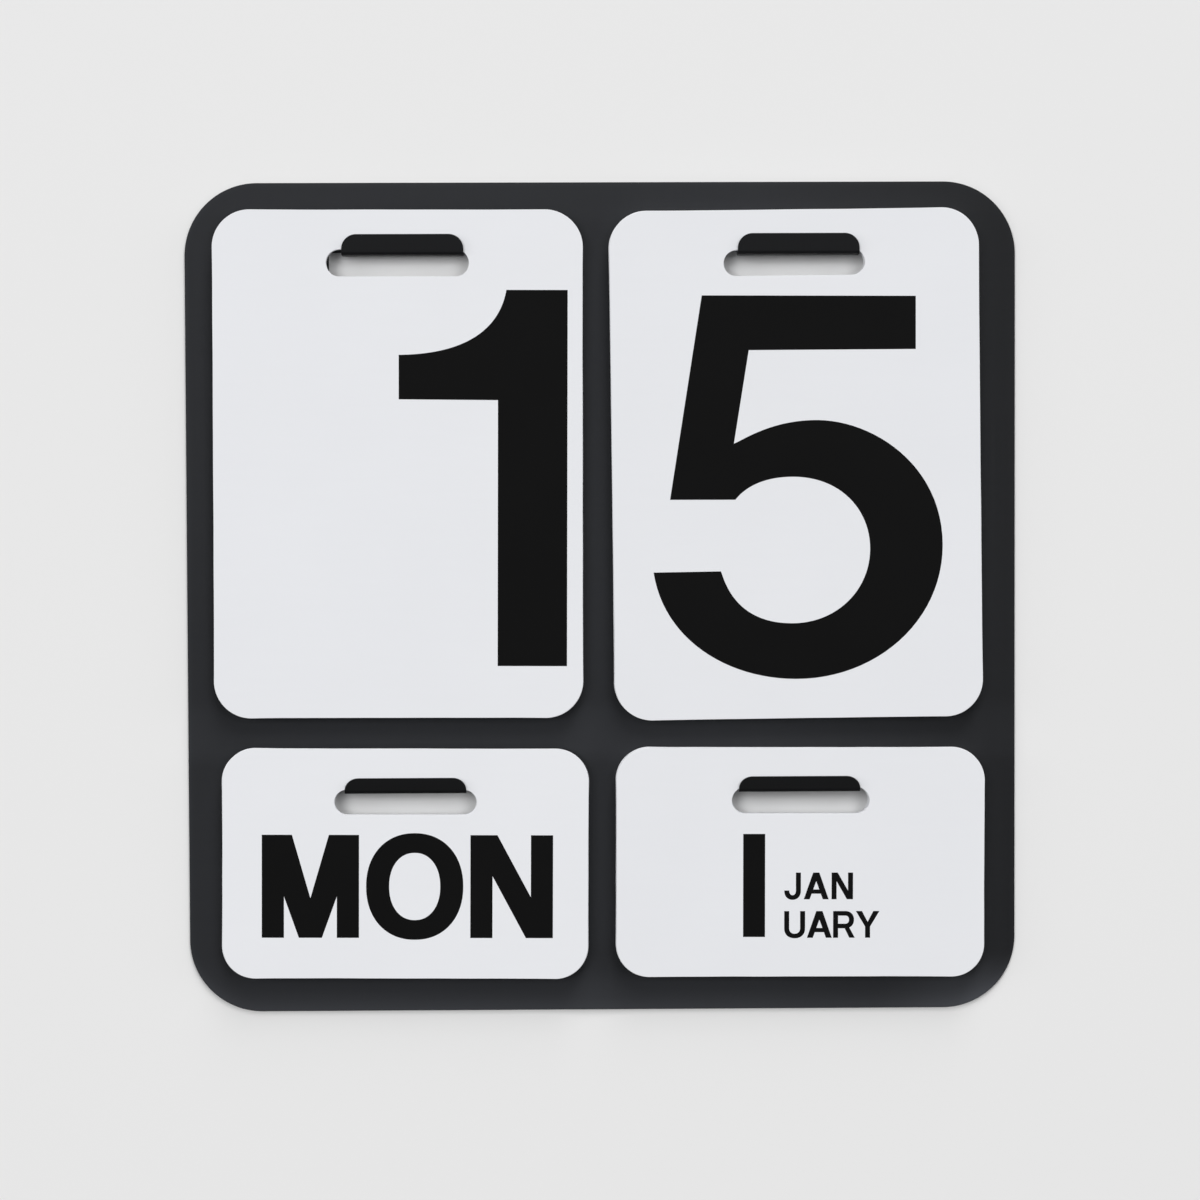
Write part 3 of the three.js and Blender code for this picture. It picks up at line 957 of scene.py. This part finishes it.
def joined(pieces):
    """The union of flat pieces as points and triangles."""
    points, faces = [], []
    for piece in pieces:
        piece = clean(piece, 1e-5)
        if len(piece) < 3:
            continue
        area = sum(
            piece[i][0] * piece[(i + 1) % len(piece)][1] - piece[(i + 1) % len(piece)][0] * piece[i][1]
            for i in range(len(piece))
        )
        if abs(area) < 1e-9:
            continue
        if area < 0:
            piece = piece[::-1]
        faces.append(list(range(len(points), len(points) + len(piece))))
        points += [Vector(p) for p in piece]
    coords, _, tris, _, _, owners = delaunay_2d_cdt(points, [], faces, 0, 1e-5, True)
    keep = []
    for tri, own in zip(tris, owners):
        if own:
            a, b, c = (coords[i] for i in tri)
            if (b - a).cross(c - a) < 0:
                tri = tri[::-1]
            keep.append(tuple(tri))
    used = sorted({i for t in keep for i in t})
    number = {i: k for k, i in enumerate(used)}
    return [tuple(coords[i]) for i in used], [tuple(number[i] for i in t) for t in keep]


def build_print(name, node, pieces, place):
    """Ink on a card: a closed film standing a little proud of its face."""
    flat, tris = joined(pieces)
    x0, z0, y0, a = place
    at = placed(x0, z0, y0, a)
    n = len(flat)
    points = [at(u, v, -INK_PROUD) for u, v in flat] + [at(u, v, INK_SUNK) for u, v in flat]
    faces = list(tris) + [tuple(n + i for i in reversed(t)) for t in tris]
    edges = {}
    for t in tris:
        for i in range(3):
            edges[(t[i], t[(i + 1) % 3])] = True
    for i, j in edges:
        if (j, i) not in edges:
            faces.append((i, n + i, n + j, j))
    ob = make_object(name, points, faces, [INK])
    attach(ob, node)
    return ob


ROMAN = ["I", "II", "III", "IV", "V", "VI", "VII", "VIII", "IX", "X", "XI", "XII"]
MONTH_LINES = [
    ("JAN", "UARY"),
    ("FEB", "RUARY"),
    ("MAR", "CH"),
    ("AP", "RIL"),
    ("MAY", ""),
    ("JU", "NE"),
    ("JU", "LY"),
    ("AU", "GUST"),
    ("SEP", "TEMBER"),
    ("OC", "TOBER"),
    ("NO", "VEMBER"),
    ("DE", "CEMBER"),
]


def print_pieces(prefix, label, index):
    if prefix == "tens_card_":
        if label == "blank":
            return None
        if label == "1":
            return [ONE]
        return [[(x + 12.5, z) for x, z in piece] for piece in numeral(label)]
    if prefix == "units_card_":
        return numeral(label)
    if prefix == "weekday_card_":
        return word(label[:3].upper(), 0.77, -28.16, 39.2, 8.4, 7.5, 2.7, True)
    # the tall numeral stands before the month's name, which is broken over two lines
    tall = word(ROMAN[index], 0.0, -28.4, 39.3, 8.35, 7.5, 3.3)
    first, second = MONTH_LINES[index]
    lines = word(first, 0.0, -14.05, 10.2, 1.9, 1.75, 1.1)
    if second:
        lines += word(second, 0.0, -28.75, 10.2, 1.9, 1.75, 1.0)
    gap = 7.3 if index == 0 else 6.0
    shift = -gap - max(u for piece in tall for u, _ in piece)
    pieces = [[(u + shift, v) for u, v in piece] for piece in tall] + lines
    us = [u for piece in pieces for u, _ in piece]
    # January's block stands where it was measured, the others in the middle of their cards
    shift = -6.2 if index == 0 else -(min(us) + max(us)) / 2
    return [[(u + shift, v) for u, v in piece] for piece in pieces]


def build_cards():
    for prefix, (card, labels) in PACKS.items():
        for index, label in enumerate(labels):
            node = prefix + label
            place = build_card(node, card, CARD[prefix], sum(map(ord, node)) * 7 + index)
            pieces = print_pieces(prefix, label, index)
            if pieces is not None:
                build_print(node + "_print", node, pieces, place)


# ---------------------------------------------------------------- wall and light


def wall_material(name, white, shaded=None):
    """Matt off-white paint, seen from the front only, so that the calendar's back can be looked at.
    shaded is (from height, to height, how much of the white is left there), for the recesses, where the
    hook's shadow is painted into the paint, greyer towards the hook."""
    material = bpy.data.materials.new(name)
    material.use_nodes = True
    tree = material.node_tree
    tree.nodes.clear()
    n = Nodes(tree)
    out = n.add("ShaderNodeOutputMaterial")
    paint = n.add("ShaderNodeBsdfDiffuse")
    paint.inputs["Color"].default_value = (white, white, white, 1.0)
    if shaded:
        low, high, left = shaded
        split = n.add("ShaderNodeSeparateXYZ")
        n.put(split.inputs[0], n.object_point())
        colour = n.add("ShaderNodeRGB")
        colour.outputs[0].default_value = (white * 0.992, white * 0.996, white, 1.0)
        # painted shadow of the hook: the paint greys towards the hook
        painted_hook_shadow = n.ramp(split.outputs[2], low * MM, high * MM, 1.0, left, True)
        n.put(paint.inputs["Color"], n.scale_colour(colour.outputs[0], painted_hook_shadow))
    clear = n.add("ShaderNodeBsdfTransparent")
    side = n.add("ShaderNodeNewGeometry").outputs["Backfacing"]
    mix = n.add("ShaderNodeMixShader")
    n.put(mix.inputs[0], side)
    n.put(mix.inputs[1], paint.outputs[0])
    n.put(mix.inputs[2], clear.outputs[0])
    n.put(out.inputs["Surface"], mix.outputs[0])
    return material


WALL_Y = 0.1
PATCH_Y = 1.6
# how white the paint is behind each window, painted light that differs from window to window, and how much of that
# is left close under its hook, a painted shadow of the hook
RECESS = {(-1, 0): (0.995, 0.86), (1, 0): (0.95, 0.70), (-1, 1): (0.985, 0.73), (1, 1): (0.93, 0.62)}


def build_wall():
    """The wall behind the plate, close to its outline. It is open behind the sheet itself, where
    nothing shows it, and closed a little further back behind the windows."""
    material = wall_material("wall_paint", 0.80)
    edge = 700.0
    outer = [(-edge, -edge), (edge, -edge), (edge, edge), (-edge, edge)]
    hole = rounded_rectangle(PLATE_SIZE - 2, PLATE_SIZE - 2, PLATE_CORNER_R - 1, 12)
    hole = clean(hole)
    tris = fill([outer, hole[::-1]])
    points = [(u, WALL_Y, v) for u, v in outer + hole[::-1]]
    walls = [make_object("wall", points, tris, [material])]
    for side in (-1, 1):
        for row, (ledge, lip) in enumerate(ROWS):
            x = side * HOOK_X
            place = f"{'upper' if row == 0 else 'lower'}_{'left' if side < 0 else 'right'}"
            white, left = RECESS[(side, row)]
            # the band below the ledge where the painted shadow of the hook fades in
            span = (ledge - 8.0 - row, ledge - 2.0 - row)
            behind = wall_material(f"wall_paint_{place}", white, (*span, left))
            half = WINDOW_WIDTH / 2 + 2.5
            low = ledge + BEND_R - flat_length(ledge, lip) - CUT_GAP - 2.5
            high = ledge + BEND_R + RELIEF + 2.5
            patch = box(x - half, low, x + half, high)
            walls.append(
                make_object(
                    f"wall_{place}",
                    [(u, PATCH_Y, v) for u, v in patch],
                    [(0, 1, 2, 3)],
                    [behind],
                )
            )


def area_light(name, place, size, power, aim=(0.0, 0.0, 0.0), colour=(1.0, 1.0, 1.0)):
    data = bpy.data.lights.new(name, "AREA")
    if isinstance(size, tuple):
        data.shape = "RECTANGLE"
        data.size, data.size_y = size
    else:
        data.shape = "SQUARE"
        data.size = size
    data.energy = power
    data.color = colour
    ob = bpy.data.objects.new(name, data)
    scene.collection.objects.link(ob)
    ob.location = place
    ob.rotation_euler = (Vector(aim) - Vector(place)).to_track_quat("-Z", "Y").to_euler()
    return ob


def lit(place, share):
    """The power that gives a light at place this share of a white wall's brightness at the middle."""
    p = Vector(place)
    return share * math.pi * p.length_squared / (abs(p.y) / p.length) * LIGHT_SCALE


LIGHT_SCALE = 3.30
AMBIENT = 0.108


def build_light():
    for name, place, size, share, gloss in (
        ("light_front_left", (-5.04, -10.74, 1.80), 4.8, 0.303, False),
        ("light_front_right", (5.04, -10.62, 2.40), 4.8, 0.186, False),
        ("light_over", (2.60, -13.80, 22.20), 13.2, 0.197, True),
        ("light_high", (5.20, -8.10, 24.60), 10.4, 0.111, True),
        ("light_left", (-7.40, -2.80, 0.80), 3.2, 0.062, True),
        ("light_right", (7.40, -2.70, 1.20), 3.2, 0.043, True),
    ):
        light = area_light(name, place, size, lit(place, share))
        # the front ones only fill in: the glossy films have nothing bright straight before them
        light.visible_glossy = gloss
        light.visible_camera = False
    place = (0.5, 1.8, 0.9)
    light = area_light("light_behind", place, 1.4, lit(place, 0.7))
    light.visible_camera = False

    world = bpy.data.worlds.new("studio")
    scene.world = world
    world.use_nodes = True
    tree = world.node_tree
    tree.nodes.clear()
    n = Nodes(tree)
    out = n.add("ShaderNodeOutputWorld")
    soft = n.add("ShaderNodeBackground")
    soft.inputs["Color"].default_value = (1.0, 1.0, 1.0, 1.0)
    soft.inputs["Strength"].default_value = AMBIENT
    pale = n.add("ShaderNodeBackground")
    pale.inputs["Color"].default_value = (0.80, 0.80, 0.80, 1.0)
    pale.inputs["Strength"].default_value = 1.0
    mix = n.add("ShaderNodeMixShader")
    n.put(mix.inputs[0], n.add("ShaderNodeLightPath").outputs["Is Camera Ray"])
    n.put(mix.inputs[1], soft.outputs[0])
    n.put(mix.inputs[2], pale.outputs[0])
    n.put(out.inputs["Surface"], mix.outputs[0])


def build_camera():
    rx, ry, rz = (math.radians(v) for v in (1.9304, -0.7887, -0.2182))
    turn_x = Matrix(
        ((1, 0, 0), (0, math.cos(rx), -math.sin(rx)), (0, math.sin(rx), math.cos(rx)))
    )
    turn_y = Matrix(
        ((math.cos(ry), 0, math.sin(ry)), (0, 1, 0), (-math.sin(ry), 0, math.cos(ry)))
    )
    turn_z = Matrix(
        ((math.cos(rz), -math.sin(rz), 0), (math.sin(rz), math.cos(rz), 0), (0, 0, 1))
    )
    level = Matrix(((1, 0, 0), (0, 0, -1), (0, 1, 0)))
    right, down, ahead = (turn_x @ turn_y @ turn_z @ level)[:]
    data = bpy.data.cameras.new("camera")
    data.sensor_fit = "HORIZONTAL"
    data.sensor_width = 36.0
    data.lens = 94.5
    data.clip_start = 0.01
    data.clip_end = 20.0
    ob = bpy.data.objects.new("camera", data)
    scene.collection.objects.link(ob)
    axes = Matrix((right, -down, -ahead)).transposed()
    ob.matrix_world = Matrix.Translation((-0.0170, -1.1994, 0.03953)) @ axes.to_4x4()
    scene.camera = ob


build_camera()
build_plate()
build_cards()
build_wall()
build_light()

scene.view_settings.view_transform = "Standard"
scene.view_settings.look = "None"
scene.view_settings.exposure = 0.0
scene.view_settings.gamma = 1.0
